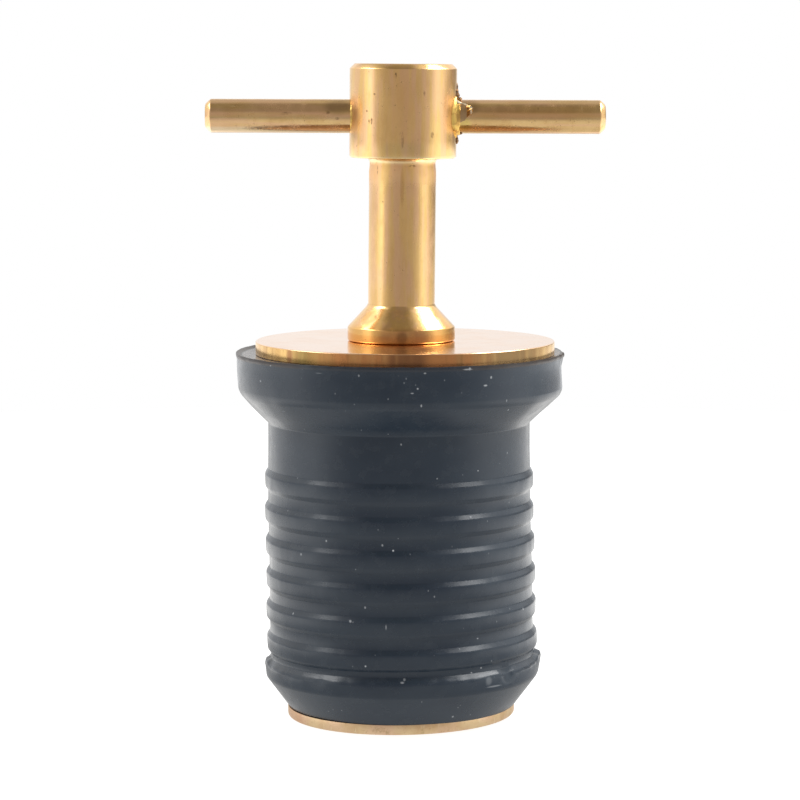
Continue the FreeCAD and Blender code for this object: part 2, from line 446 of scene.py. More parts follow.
def machined_brass(name, streak, tarnish=0.45, gloss=0.17, gold=GOLD, marks=(), stains_and_painted_light=(), dull=()):
    """Bright drawn or turned brass, tarnished in clouds and specks.

    streak is its grain per millimetre on each axis. Each mark has a place, size and depth, each
    stain, painted shade and painted highlight a place, size, depth and colour, and each dull spot
    a place and size.
    """
    brass = Finish(name, Metallic=1.0)
    long_streak = tuple(0.22 * share if share > 1 else 0.12 for share in streak)
    clouds = brass.place.noise((0.35, 0.35, 0.2), detail=3.0)
    blotches = brass.place.noise((1.1, 1.1, 0.7), detail=4.0, offset=(7, 3, 1))
    bands = brass.place.noise(long_streak, detail=2.0, offset=(1, 6, 2))
    grain = brass.place.noise(streak, detail=3.0, roughness=0.6)
    specks = brass.place.noise((4.5, 4.5, 3.0), detail=1.0, offset=(2, 9, 4)).fade(0.68, 0.76)
    specks = specks * blotches.fade(0.42, 0.6)
    stain = (clouds.fade(0.38, 0.66) * 0.6 + blotches.fade(0.45, 0.7) * 0.4) * tarnish
    tone = stain.blend(gold, BROWN_GOLD)
    tone = (bands.fade(0.42, 0.62) * 0.6).blend(tone, ROSE_GOLD)
    tone = (grain.fade(0.35, 0.8) * 0.22).blend(tone, PALE_GOLD)
    # Stains, painted shade and painted highlights from the table are all tinted in here alike.
    for place, size, depth, colour in stains_and_painted_light:
        tinted = brass.place.spot(place, size) * bands.fade(0.2, 0.6, 0.7, 1.0) * depth
        tone = tinted.blend(tone, colour)
    tone = (specks * 0.45).blend(tone, OXIDE)
    relief = grain * 0.5 + blotches * 0.45 - specks * 0.5
    for place, size, depth in marks:
        mark = brass.place.spot(place, size)
        ragged = mark * brass.place.noise((3.0, 3.0, 3.0), detail=2.0).fade(0.3, 0.62)
        tone = (ragged * depth).blend(tone, OXIDE)
        relief = relief - ragged * depth
    brass.set("Base Color", tone)
    roughness = blotches.fade(0.3, 0.75, gloss * 0.7, gloss * 1.5) + specks * 0.15
    for place, size in dull:
        roughness = roughness + brass.place.spot(place, size) * 0.25
    brass.set("Roughness", roughness)
    brass.bump(relief, 0.008)
    return brass.material


def stem_finish():
    """Turned stem and boss: the marks and tarnish that the picture shows, painted shade beside the
    bar's hole and a painted pale ring under the boss.
    """
    front = -BOSS_RADIUS
    foot = STEM_FOOT
    marks = (
        ((-0.6, front, 74.2), (0.14, 1.2, 0.42), 0.9),
        ((-3.35, front + 0.9, 69.1), (0.14, 1.4, 0.55), 0.8),
        ((-3.65, front + 0.9, 69.0), (0.12, 1.4, 0.4), 0.7),
        ((-3.9, front + 1.2, 70.2), (0.16, 1.4, 0.18), 0.6),
        ((-3.0, front + 0.8, 72.1), (0.16, 1.4, 0.16), 0.7),
        ((0.15, front, 66.9), (0.2, 1.0, 1.2), 0.4),
        ((2.6, front + 0.5, 72.2), (0.15, 1.2, 0.4), 0.55),
        ((3.5, front + 1.0, 67.5), (0.25, 1.4, 0.5), 0.5),
        ((6.2, -0.4, 72.3), (0.5, 1.2, 0.7), 0.95),
        ((6.2, -0.4, 66.8), (0.5, 1.2, 0.8), 0.95),
        ((-6.0, -1.9, 71.3), (0.35, 0.8, 0.5), 0.6),
        ((1.35, -3.6, 63.95), (0.6, 0.8, 0.16), 0.75),
        ((-2.7, -2.8, 63.5), (0.07, 0.8, 0.7), 0.7),
        ((-2.9, -4.0, 46.8), (0.2, 0.9, 0.28), 0.7),
        ((-1.4, -4.4, 46.2), (0.5, 0.9, 0.12), 0.4),
    )
    stains_and_painted_light = (
        ((0.2, front, 71.0), (1.6, 2.0, 5.5), 0.5, (0.85, 0.52, 0.24)),
        ((0.1, -3.9, 61.5), (0.3, 1.0, 2.8), 0.5, BROWN_GOLD),
        # Pale ring under the boss: a painted highlight for the light that its lower edge reflects.
        ((0.2, 0, BOSS_FOOT - 0.1), (12.0, 12.0, 0.62), 0.9, (0.86, 0.69, 0.40)),
        # Darker brown beside both ends of the bar's hole: painted shade, which also dims the lamps'
        # reflection off the bar.
        ((-5.5, -2.5, BAR_AXIS - 0.3), (1.5, 2.2, 2.9), 0.85, (0.42, 0.26, 0.12)),
        ((5.7, -2.4, BAR_AXIS), (1.6, 1.8, 3.1), 0.7, BROWN_GOLD),
        ((6.1, -1.2, BAR_AXIS), (0.9, 2.6, 3.0), 0.8, OXIDE),
        ((0, 0, foot + 0.7), (16.0, 16.0, 1.9), 0.85, (0.78, 0.42, 0.12)),
        ((0.6, front, foot + 0.8), (4.4, 3.4, 1.3), 0.75, RED_BROWN),
        ((-0.4, -5.0, foot + 2.8), (2.4, 2.4, 1.8), 0.4, BROWN_GOLD),
        ((-3.6, -3.2, foot + 2.8), (1.6, 1.8, 1.5), 0.7, (0.60, 0.36, 0.14)),
        ((0.1, front, foot + 0.8), (0.9, 1.5, 0.9), 0.5, OXIDE),
    )
    dull = (
        ((-5.5, -2.5, BAR_AXIS + 0.5), (1.6, 2.4, 3.4)),
        ((5.7, -2.5, BAR_AXIS + 0.5), (1.6, 2.4, 3.4)),
        ((-3.6, -3.2, foot + 2.8), (1.6, 2.0, 1.6)),
        ((0, 0, BOSS_FOOT - 1.4), (8.5, 8.5, 2.4)),
    )
    return machined_brass("turned brass", (5.0, 5.0, 0.55), marks=marks, stains_and_painted_light=stains_and_painted_light, dull=dull)


def bar_finish():
    """Drawn bar with nicks, scratches and tarnish, a painted reflection along its lower front and
    painted shade beside the boss.
    """
    marks = (
        ((-13.2, -1.8, 69.9), (0.9, 1.2, 0.22), 0.5),
        ((-8.4, -1.8, 70.0), (0.4, 1.2, 0.25), 0.55),
        ((-7.3, -1.8, 69.3), (0.3, 1.2, 0.2), 0.45),
        ((15.6, -1.6, 70.4), (0.14, 1.0, 0.2), 0.4),
        ((-18.8, -1.2, 70.8), (0.9, 1.0, 0.12), 0.4),
    )
    stains_and_painted_light = (
        ((20.6, -1.5, 70.4), (0.12, 1.2, 0.38), 0.8, PALE_GOLD),
        ((-19.2, -1.3, 70.7), (0.5, 1.0, 0.1), 0.6, PALE_GOLD),
        ((7.0, -1.6, BAR_AXIS - 0.9), (1.3, 2.0, 1.1), 0.7, (0.78, 0.60, 0.17)),
        ((15.5, -1.9, BAR_AXIS + 0.15), (11.0, 2.0, 0.75), 0.5, BROWN_GOLD),
        ((15.5, -1.3, BAR_AXIS + 0.75), (11.0, 2.0, 0.6), 0.45, BROWN_GOLD),
        # Pale strip along the bar's lower front: a painted reflection of the bright floor.
        ((-17.0, -1.2, BAR_AXIS - 1.55), (24.0, 2.0, 0.55), 0.6, (0.95, 0.80, 0.56)),
        # Dark brown on top of the bar beside the boss: painted shade where the bar meets it.
        ((-7.2, -1.2, BAR_AXIS + 1.0), (2.2, 1.6, 1.3), 0.6, (0.34, 0.21, 0.10)),
        ((7.6, -1.2, BAR_AXIS + 1.0), (1.8, 1.6, 1.3), 0.5, (0.34, 0.21, 0.10)),
    )
    gold = (0.84, 0.57, 0.26)
    return machined_brass(
        "bar brass", (0.5, 5.0, 5.0), tarnish=0.6, gloss=0.2, gold=gold, marks=marks, stains_and_painted_light=stains_and_painted_light
    )


def torn_finish(name, tone, dull, face=None):
    """Torn brass with dull folds, or with a dull face inside a rim painted pale as a highlight."""
    brass = Finish(name, Metallic=1.0)
    folds = brass.place.noise((1.3, 1.3, 1.3), detail=2.0)
    fine = brass.place.noise((5.0, 5.0, 5.0), detail=2.0)
    # With a face given, the tone outside it is a painted highlight on the rim.
    dull_and_unhighlighted = folds.fade(0.42, 0.56) if face is None else brass.place.spot(*face).fade(0.12, 0.4)
    tone = dull_and_unhighlighted.blend(tone, dull)
    tone = (fine.fade(0.62, 0.72) * 0.25).blend(tone, OXIDE)
    brass.set("Base Color", tone)
    brass.set("Roughness", folds.fade(0.3, 0.7, 0.42, 0.3))
    brass.bump(folds * 0.7 + fine * 0.3, 0.005)
    return brass.material


def top_washer_finish():
    """Faced washer: a pale face with fine rings, and shear marks round a browner edge."""
    brass = Finish("washer brass", Metallic=1.0)
    height = brass.place.part(2)
    reach = brass.place.reach()
    edge = WASHER_TOP - 0.7
    rings_per_metre = 6.0 / MM
    face = height.fade((WASHER_TOP - 0.12) * MM, (WASHER_TOP - 0.02) * MM)
    rings = reach.node(
        "TexNoise",
        {"noise_dimensions": "1D"},
        {"W": reach * rings_per_metre, "Scale": 1.0, "Detail": 3.0},
    )
    clouds = brass.place.noise((0.25, 0.25, 0.25), detail=3.0)
    shear = brass.place.noise((3.4, 3.4, 0.22), detail=3.0)
    patches = brass.place.noise((0.7, 0.7, 0.12), detail=2.0, offset=(4, 4, 0))
    side = 1 - face
    front = brass.place.spot((-0.5, -17.6, edge), (13.0, 10.0, 4.0))
    middle = brass.place.spot((0.6, -17.4, edge), (3.0, 6.0, 4.0))
    left = brass.place.spot((-8.6, -14.6, edge), (5.0, 9.0, 4.0))
    right = brass.place.spot((9.6, -13.4, edge), (10.0, 12.5, 4.0))
    blot = brass.place.spot((-12.6, -12.0, edge), (0.6, 1.6, 1.5))
    browned = side * patches.fade(0.42, 0.62) * 0.45 + clouds.fade(0.4, 0.7) * 0.12
    tone = browned.blend(GOLD, BROWN_GOLD)
    tone = (side * shear.fade(0.42, 0.3) * 0.25).blend(tone, PALE_GOLD)
    tone = (side * left * patches.fade(0.3, 0.55, 0.75, 0.95)).blend(tone, (0.27, 0.19, 0.065))
    tone = (side * right * patches.fade(0.3, 0.55, 0.8, 1.0)).blend(tone, (0.265, 0.170, 0.080))
    tone = (side * front * patches.fade(0.3, 0.55, 0.6, 0.95)).blend(tone, (0.62, 0.27, 0.10))
    tone = (side * middle * patches.fade(0.3, 0.5, 0.6, 0.9)).blend(tone, (0.27, 0.125, 0.058))
    tone = (side * shear.fade(0.54, 0.66) * 0.35).blend(tone, (0.30, 0.15, 0.06))
    tone = (side * blot * 0.8).blend(tone, RED_BROWN)
    tone = (face * 0.85).blend(tone, (0.93, 0.63, 0.45))
    brass.set("Base Color", tone)
    brass.set("Roughness", clouds.fade(0.3, 0.7, 0.09, 0.17) + side * 0.12)
    brass.bump(rings * face * 0.25 + shear * side, 0.007)
    return brass.material


def bottom_washer_finish():
    """Satin stamped washer, sandy and finely scratched."""
    brass = Finish("satin brass", Metallic=1.0)
    clouds = brass.place.noise((0.45, 0.45, 0.45), detail=4.0)
    rosy = brass.place.noise((0.3, 0.3, 0.3), detail=2.0, offset=(6, 1, 3)).fade(0.42, 0.62)
    fine = brass.place.noise((4.0, 4.0, 4.0), detail=3.0, roughness=0.65)
    scratches = brass.place.noise((5.0, 5.0, 0.8), detail=2.0, offset=(3, 1, 8)).fade(0.62, 0.72)
    tone = clouds.fade(0.35, 0.68).blend((0.81, 0.61, 0.36), (0.70, 0.48, 0.265))
    tone = (rosy * 0.5).blend(tone, (0.85, 0.58, 0.42))
    tone = (fine.fade(0.55, 0.75) * 0.4).blend(tone, (0.46, 0.28, 0.14))
    tone = (scratches * 0.5).blend(tone, (0.92, 0.78, 0.54))
    left_end = brass.place.spot((-12.2, -4.6, 0.6), (2.2, 4.0, 2.0))
    tone = (left_end * 0.6).blend(tone, (0.70, 0.41, 0.26))
    tinted = most(
        brass.place.spot((-2.6, -12.9, 0.8), (0.9, 1.0, 0.5)),
        brass.place.spot((-1.5, -13.0, 0.5), (0.4, 1.0, 0.5)),
        brass.place.spot((2.4, -12.9, 0.6), (0.3, 1.0, 0.6)),
    )
    tone = (tinted * fine.fade(0.35, 0.6) * 0.4).blend(tone, (0.42, 0.29, 0.13))
    brass.set("Base Color", tone)
    brass.set("Roughness", fine.fade(0.3, 0.7, 0.34, 0.48))
    brass.bump(fine * 0.6 + scratches * 0.5, 0.012)
    return brass.material


def stud_finish():
    """Rolled thread, a little duller than the turned pieces."""
    brass = Finish("stud brass", Metallic=1.0)
    clouds = brass.place.noise((0.6, 0.6, 0.3), detail=3.0)
    grain = brass.place.noise((5.0, 5.0, 1.2), detail=2.0)
    brass.set("Base Color", clouds.fade(0.35, 0.7).blend((0.80, 0.55, 0.25), BROWN_GOLD))
    brass.set("Roughness", grain.fade(0.3, 0.7, 0.26, 0.4))
    brass.bump(grain, 0.005)
    return brass.material


# Pale specks and scuffs on the bung's front: across, height, half width, half height, strength.
# They reach through the surface from a cylinder between the band's and the flange's.
SPECK_RADIUS_SQUARED = 300
SPECKS = (
    (-15.8, 40.1, 0.16, 0.22, 0.6), (-1.7, 42.65, 0.14, 0.12, 0.9), (2.6, 41.8, 0.2, 0.12, 0.5),
    (1.8, 40.1, 0.14, 0.14, 0.7), (1.2, 39.6, 0.24, 0.1, 0.5), (9.3, 40.2, 0.28, 0.14, 0.6),
    (7.3, 42.1, 0.7, 0.12, 0.5), (17.1, 39.2, 0.12, 0.16, 0.6), (2.2, 38.2, 0.12, 0.22, 0.6),
    (-9.1, 41.6, 0.5, 0.08, 0.2), (-14.6, 42.0, 0.12, 0.12, 0.6), (-0.9, 21.6, 0.16, 0.16, 1.0),
    (8.6, 30.2, 0.13, 0.13, 0.7), (4.0, 29.6, 0.13, 0.13, 0.5), (-11.3, 20.5, 0.12, 0.22, 0.5),
    (-5.7, 13.5, 0.2, 0.2, 0.6), (-4.0, 8.5, 0.14, 0.14, 0.8), (0.1, 6.75, 0.3, 0.16, 0.4),
    (0.35, 7.05, 0.2, 0.22, 0.35), (-1.7, 13.0, 0.1, 0.42, 0.4), (9.0, 7.8, 0.14, 0.14, 0.6),
    (7.9, 7.4, 0.12, 0.12, 0.6), (8.6, 11.2, 0.16, 0.12, 0.5), (3.7, 16.4, 0.12, 0.16, 0.4),
    (10.6, 5.6, 1.2, 0.14, 0.28), (9.9, 6.3, 0.5, 0.7, 0.14), (6.4, 3.4, 0.12, 0.12, 0.35),
)


def rubber_finish():
    """Moulded rubber: blue-black and satin, with a dark lip, a pale bare rim and pale dust."""
    rubber = Finish("bung rubber", Metallic=0.0, IOR=1.5)
    x = rubber.place.part(0)
    height = rubber.place.part(2)
    reach = rubber.place.reach()
    clouds = rubber.place.noise((0.16, 0.16, 0.3), detail=3.0)
    blotches = rubber.place.noise((0.8, 0.8, 0.8), detail=3.0, offset=(5, 2, 8))
    fine = rubber.place.noise((5.0, 5.0, 5.0), detail=2.0)
    cells = rubber.place.stretched((0.5, 0.5, 0.36))
    dust = cells.node("TexVoronoi", {"feature": "F1"}, {"Vector": cells, "Scale": 1.0})
    chosen = dust.sibling("Color").part(0)
    ragged = dust + rubber.place.noise((2.2, 2.2, 2.2), detail=1.0) * 0.09
    flecks = ragged.fade(0.115, 0.07) * chosen.fade(0.6, 0.7)
    dots = rubber.place.stretched((1.5, 1.5, 1.1), (3, 3, 3))
    grit = dots.node("TexVoronoi", {"feature": "F1"}, {"Vector": dots, "Scale": 1.0})
    grains = grit.sibling("Color").part(1)
    specks = grit.fade(0.15, 0.07) * grains.fade(0.88, 0.94)
    pale = most(flecks * 0.55, specks * 0.25)
    for across, up, wide, tall, strength in SPECKS:
        front = -math.sqrt(SPECK_RADIUS_SQUARED - across * across)
        pale = most(pale, rubber.place.spot((across, front, up), (wide, 5.0, tall)) * strength)
    bloom = blotches.fade(0.5, 0.78)
    tone = clouds.fade(0.3, 0.7).blend((0.011, 0.023, 0.041), (0.018, 0.032, 0.051))
    tone = (bloom * 0.25).blend(tone, (0.044, 0.058, 0.074))
    rim = 18.38 * MM
    bare = height.fade((BUNG_TOP - 0.36) * MM, (BUNG_TOP - 0.3) * MM)
    bare = bare * reach.fade(rim, 18.24 * MM)
    lip = height.fade((BUNG_TOP - 0.6) * MM, (BUNG_TOP - 0.4) * MM)
    lip = lip * reach.fade(rim, 18.5 * MM)
    lip = lip * most(x.fade(5 * MM, 12 * MM, 0.3, 1.0), (0 - x).fade(9 * MM, 13 * MM) * 0.9)
    tone = (bare * 0.85).blend(tone, (0.165, 0.160, 0.175))
    tone = (lip * fine.fade(0.3, 0.6, 0.65, 1.0)).blend(tone, (0.030, 0.019, 0.015))
    tone = pale.blend(tone, (0.62, 0.66, 0.70))
    rubber.set("Base Color", tone)
    rubber.set("Roughness", blotches.fade(0.3, 0.75, 0.21, 0.28) + fine * 0.03 + lip * 0.1)
    rubber.bump(fine * 0.15 + blotches * 0.5 + pale * 0.5, 0.013)
    return rubber.material


def dress(piece, finish, slot, body, *nodes):
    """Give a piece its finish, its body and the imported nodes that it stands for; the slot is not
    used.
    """
    piece.data.materials.clear()
    piece.data.materials.append(finish)
    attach(piece, body)
    if nodes:
        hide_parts(*nodes)


# Camera, floor and light tent

# A ramp or a mix holds no more than 1, so brighter light is written as a share of this strength
FULL_STRENGTH = 2.0


def set_camera():
    """The picture's camera: a long lens a little above the plug, looking slightly down."""
    lens = bpy.data.cameras.new("camera")
    lens.lens = 141.75
    lens.sensor_width = 36.0
    lens.clip_start = 0.01
    lens.clip_end = 20.0
    camera = bpy.data.objects.new("camera", lens)
    camera.location = (-0.00014, -0.3622, 0.0768)
    camera.rotation_euler = (math.radians(83.7), 0, 0)
    bpy.context.scene.collection.objects.link(camera)
    bpy.context.scene.camera = camera


def lay_floor():
    """A round white floor that keeps a faint shadow and lights the plug, least from in front."""
    deselect()
    bpy.ops.mesh.primitive_circle_add(
        vertices=128, radius=0.32, fill_type="NGON", location=(0, 0, -0.00002)
    )
    floor = bpy.context.object
    floor.name = "floor"
    settle(floor)
    white = bpy.data.materials.new("white floor")
    white.use_nodes = True
    tree = white.node_tree
    tree.nodes.clear()
    wire = Wire(tree)
    place = wire.node("TexCoord", out="Object")
    x = place.part(0)
    y = place.part(1)
    reach = place.reach()
    front = ((0 - y) / reach).fade(0.1, 0.9)
    behind = reach.fade(0.04, 0.08, 0.76, 1.76) - reach.fade(0.12, 0.22, 0.0, 0.26)
    behind = behind * (x.math("ABSOLUTE", x) / reach).fade(0.28, 0.46, 0.5, 1.0)
    level = (1 - front) * behind + front * reach.fade(0.05, 0.3, 0.78, 0.42)
    glow = (level / FULL_STRENGTH).blend((0, 0, 0), (1.0, 0.985, 0.96))
    seen = wire.node("LightPath", out="Is Camera Ray")
    matt = wire.node("BsdfDiffuse", {}, {"Color": (0.34, 0.34, 0.34, 1)})
    lit = wire.node("Emission", {}, {"Color": (1, 1, 1, 1), "Strength": 0.88})
    card = wire.node("Emission", {}, {"Color": glow, "Strength": FULL_STRENGTH})
    shown = wire.node("AddShader", {}, {0: matt, 1: lit})
    both = wire.node("MixShader", {}, {0: seen, 1: card, 2: shown})
    wire.node("OutputMaterial", {}, {"Surface": both})
    floor.data.materials.append(white)


def light_tent():
    """White behind the plug, a soft light on each side and a dimmer tent in front and overhead."""
    world = bpy.data.worlds.new("light tent")
    bpy.context.scene.world = world
    world.use_nodes = True
    tree = world.node_tree
    tree.nodes.clear()
    wire = Wire(tree)
    heading = wire.node("TexCoord", out="Generated")
    x = heading.part(0)
    y = heading.part(1)
    z = heading.part(2)
    turn = x.math("ARCTAN2", x, 0 - y) / (2 * math.pi) + 0.5
    stops = [
        (0.000, (0.98, 0.98, 0.98)),
        (0.060, (1.02, 1.02, 1.02)),
        (0.190, (0.92, 0.90, 0.89)),
        (0.235, (0.95, 0.93, 0.92)),
        (0.252, (1.20, 1.20, 1.20)),
        (0.294, (1.56, 1.56, 1.54)),
        (0.330, (0.75, 0.71, 0.69)),
        (0.390, (0.52, 0.48, 0.47)),
        (0.500, (0.46, 0.415, 0.40)),
        (0.600, (0.52, 0.48, 0.47)),
        (0.665, (0.70, 0.67, 0.65)),
        (0.715, (1.28, 1.28, 1.24)),
        (0.765, (1.14, 1.13, 1.06)),
        (0.795, (0.80, 0.76, 0.69)),
        (0.825, (0.59, 0.54, 0.46)),
        (0.870, (0.44, 0.39, 0.33)),
        (0.920, (0.40, 0.37, 0.33)),
        (0.948, (0.88, 0.88, 0.88)),
        (1.000, (0.98, 0.98, 0.98)),
    ]
    shares = [
        (position, tuple(light / FULL_STRENGTH for light in colour)) for position, colour in stops
    ]
    walls = turn.node("ValToRGB", {"stops": shares}, {0: turn})
    roof = y.fade(-0.1, 0.4).blend((0.150, 0.137, 0.118), (0.30, 0.29, 0.28))
    beside = most(x.fade(0.12, 0.5), (0 - x).fade(0.36, 0.6))
    sides = (z.fade(0.12, 0.3) * y.fade(-0.15, 0.15)).blend(walls, (0.56, 0.545, 0.52))
    inside = (z.fade(0.3, 0.62) * (1 - beside)).blend(sides, roof)
    front = (0 - y).fade(0.1, 0.9)
    ground = ((1 - front) * 1.48 + front * 0.42) / FULL_STRENGTH
    inside = z.fade(-0.05, -0.12).blend(inside, ground)
    seen = wire.node("LightPath", out="Is Camera Ray")
    tent = wire.node("Background", {}, {"Color": inside, "Strength": FULL_STRENGTH})
    white = wire.node("Background", {}, {"Color": (1, 1, 1, 1), "Strength": 1.0})
    both = wire.node("MixShader", {}, {0: seen, 1: tent, 2: white})
    wire.node("OutputWorld", {}, {"Surface": both})


def hang_lamp(name, turn, tilt, width, height, radiance):
    """A lamp that faces the plug, turned from the camera's side and tilted up, in degrees."""
    middle = Vector((0, 0, 0.05))
    distance = 0.5
    watts_per_area = 4 * radiance
    turn = math.radians(turn)
    tilt = math.radians(tilt)
    flat = math.cos(tilt)
    away = Vector((math.sin(turn) * flat, -math.cos(turn) * flat, math.sin(tilt)))
    lamp = bpy.data.lights.new(name, "AREA")
    lamp.shape = "RECTANGLE"
    lamp.size = width
    lamp.size_y = height
    lamp.energy = width * height * watts_per_area
    holder = bpy.data.objects.new(name, lamp)
    holder.location = middle + away * distance
    holder.rotation_euler = away.to_track_quat("Z", "Y").to_euler()
    holder.visible_camera = False
    bpy.context.scene.collection.objects.link(holder)


# Pieces, from the bottom up

def make_bottom_washer():
    """Stamped disc, countersunk and eased from below, with its right side lifted."""
    radius = 13.2
    thickness = 1.2
    hole = 2.52
    countersink = 3.8
    lift = math.radians(0.78)
    washer = turned("bottom_washer_visual", [
        (countersink, 0.0),
        (radius, 0.0),
        (radius, thickness),
        (hole, thickness),
        (hole, 0.9),
        (countersink, 0.0),
    ])
    ease(washer, [(radius, 0.0)], 0.3, 4)
    ease(washer, [(radius, thickness)], 0.08, 2)
    edit(washer)
    bpy.ops.mesh.select_all(action="SELECT")
    left_edge = (-radius * MM, 0, 0)
    bpy.ops.transform.rotate(value=lift, orient_axis="Y", center_override=left_edge)
    done()
    smooth(washer)
    dress(washer, bottom_washer_finish(), "satin_brass", "base", "bottom_washer")


def make_stud():
    """Threaded stud: a spiral of one tooth up a plain core, riveted over at its foot."""
    pitch = 0.8
    turns = 64
    thread_foot = 2.2
    root = 2.08
    crest = 2.48
    core_radius = 2.12
    rivet = 3.62
    deselect()
    bpy.ops.mesh.primitive_plane_add(size=MM, location=(0, 0, 0))
    thread = bpy.context.object
    edit(thread)
    bpy.ops.mesh.select_all(action="SELECT")
    bpy.ops.mesh.merge(type="CENTER")
    bpy.ops.transform.translate(value=(root * MM, 0, thread_foot * MM))
    tooth = ((crest - root, 0.34), (0, 0.12), (root - crest, 0.34))
    for across, rise in tooth:
        shift = (across * MM, 0, rise * MM)
        bpy.ops.mesh.extrude_region_move(TRANSFORM_OT_translate={"value": shift})
    done()
    modify(
        thread, "SCREW", axis="Z", angle=2 * math.pi, screw_offset=pitch * MM, iterations=turns,
        steps=36, render_steps=36, use_merge_vertices=True, merge_threshold=SAME_PLACE,
    )
    edit(thread)
    bpy.ops.mesh.select_all(action="DESELECT")
    bpy.ops.mesh.select_non_manifold()
    bpy.ops.mesh.fill_holes(sides=0)
    bpy.ops.mesh.select_all(action="SELECT")
    bpy.ops.mesh.normals_make_consistent(inside=False)
    done()
    core = turned("threaded_stud_visual", [
        (0, STUD_FOOT),
        (rivet, STUD_FOOT),
        (crest, 0.9),
        (crest, 2.6),
        (core_radius, 2.9),
        (core_radius, STUD_TOP - 0.3),
        (1.85, STUD_TOP),
        (0, STUD_TOP),
    ], facets=72)
    ease(core, [(rivet, STUD_FOOT)], 0.1, 2)
    modify(core, "BOOLEAN", operation="UNION", object=thread, solver="EXACT")
    bpy.data.objects.remove(thread)
    smooth(core)
    dress(core, stud_finish(), "stud_brass", "base", "threaded_stud")


def make_bung():
    """Moulded bung: nose, wide lead rib, six ribs, band, shoulder and flange, with its flash."""
    bore = 2.8
    lead_rib = 15.88
    ribs = 6
    first_rib = 7.05
    rib_pitch = 3.75
    band = 15.15
    flange = 18.71
    rounded_under = math.radians(60)
    foot = BUNG_FOOT
    top = BUNG_TOP
    pressed = top - PRESSED_IN
    lead = [(lead_rib, foot + 3.8), (lead_rib, foot + 5.35)]
    outline = [
        (bore, foot),
        (12.98, foot),
        (13.15, foot + 0.15),
        lead[0],
        (lead_rib, foot + 4.6),
        lead[1],
    ]
    grooves = [(15.32, foot + 6.0)]
    outline += grooves
    upper_edges = []
    lower_edges = []
    for number in range(ribs):
        rib = foot + first_rib + rib_pitch * number
        crest = 15.72 - 0.035 * number
        groove = 15.31 - 0.024 * number
        lower_edges.append((crest - 0.03, rib + 0.02))
        upper_edges.append((crest, rib + 1.48))
        grooves += [(groove, rib - 0.45), (groove, rib + 2.08)]
        outline += [grooves[-2], lower_edges[-1], (crest, rib + 0.8), upper_edges[-1], grooves[-1]]
    flange_foot = top - 4.5
    shoulder = (band, flange_foot - 3.56)
    corner = (flange, flange_foot)
    outline += [
        (band, 31.2),
        (band, 32.8),
        shoulder,
        (band + 0.9, flange_foot - 2.68),
        (band + 1.8, flange_foot - 1.80),
        corner,
        (flange + 0.02, flange_foot + 1.6),
        (flange + 0.02, flange_foot + 2.9),
        (flange + 0.04, top - 0.55),
        (flange + 0.12, top - 0.40),
        (flange + 0.15, top - 0.2),
        (flange + 0.10, top),
        (flange - 0.08, top),
        (flange - 0.35, top - 0.12),
        (flange - 0.6, pressed),
        (flange - 1.25, pressed),
        (12.0, pressed),
        (bore, pressed),
        (bore, foot),
    ]
    bung = turned("bung_visual", outline, facets=256)
    ease(bung, [corner], 0.6, 5)
    ease(bung, [shoulder], 0.12, 2)
    ease(bung, upper_edges, 0.16, 3)
    ease(bung, lower_edges, 0.14, 2)
    ease(bung, grooves, 0.08, 2)
    ease(bung, lead, 0.3, 4)

    def on_side(place):
        return 1.0 if from_axis(place) > 12 else 0.0

    def on_lip(place):
        return 1.0 if from_axis(place) > 18.4 and place.z > top - 0.5 else 0.0

    def on_lead_rib(place):
        if from_axis(place) < 15.4:
            return 0.0
        return max(0.0, 1 - abs(place.z - foot - 5.3) / 0.7)

    def on_ribs(place):
        return 1.0 if from_axis(place) > 15.4 and foot + 6.4 < place.z < 30 else 0.0

    def low(place):
        """How much a place takes part in the tilt of the lower ribs."""
        return limited((place.z - 2.5) / 4) * limited((27.5 - place.z) / 11)

    roughen(bung, 0.09, 7.0, on_side)
    roughen(bung, 0.07, 1.8, on_ribs)
    roughen(bung, 0.14, 1.2, on_lip, detail=3)
    roughen(bung, 0.24, 1.2, on_lead_rib, detail=3)
    tilt = 0.26 * MM
    for side in (1, -1):
        displace(
            bung,
            lambda place: side * low(place) * place.x / 15.8,
            direction="Z",
            strength=side * tilt,
            mid_level=0,
        )
    lumps = (
        ((-15.85, -1.0, foot + 5.2), (-0.16, 0, 0.28), 0.9),
        ((-15.75, -2.4, foot + 5.1), (-0.1, 0, 0.2), 0.8),
        ((15.85, -1.0, foot + 5.7), (0.24, 0, 0.56), 1.3),
        ((15.65, -2.6, foot + 5.6), (0.14, 0, 0.3), 0.8),
        ((12.0, -10.3, foot + 5.6), (-0.2, 0.2, -0.12), 0.8),
        ((18.85, -1.4, top - 0.25), (0.22, 0, 0), 0.9),
        ((18.5, -3.4, top - 0.3), (0.12, -0.03, 0), 0.8),
    )
    for place, shift, reach in lumps:
        push(bung, near(place, 0.5), shift, reach)
    push(bung, lambda place: place.z > 26 * MM, (-0.25, 0, 0), 13)
    push(bung, level_with(7, 0.6), (0.15, 0, 0), 5)
    on_shoulder = level_with(37.2, 0.6)
    for side in (-1, 1):
        push(bung, lambda place: place.x * side > 15 * MM and on_shoulder(place), (0.17, 0, 0), 3)
    smooth(bung, under=rounded_under)
    dress(bung, rubber_finish(), "bung_rubber", "base", "rubber_body")
    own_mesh(bung)


def make_top_washer():
    """Faced disc pressed into the bung, a little off centre, with both edge corners eased."""
    radius = 17.24
    hole = 3.4
    centre = TOP_WASHER_CENTRE - 0.16
    foot = WASHER_FOOT - PRESSED_IN
    washer = turned("top_washer_visual", [
        (hole, foot),
        (radius, foot),
        (radius, WASHER_TOP),
        (hole, WASHER_TOP),
        (hole, foot),
    ], centre)
    ease(washer, [(radius, foot)], 0.16, 3, centre)
    ease(washer, [(radius, WASHER_TOP)], 0.14, 3, centre)
    smooth(washer)
    dress(washer, top_washer_finish(), "washer_brass", "clamp", "top_washer")


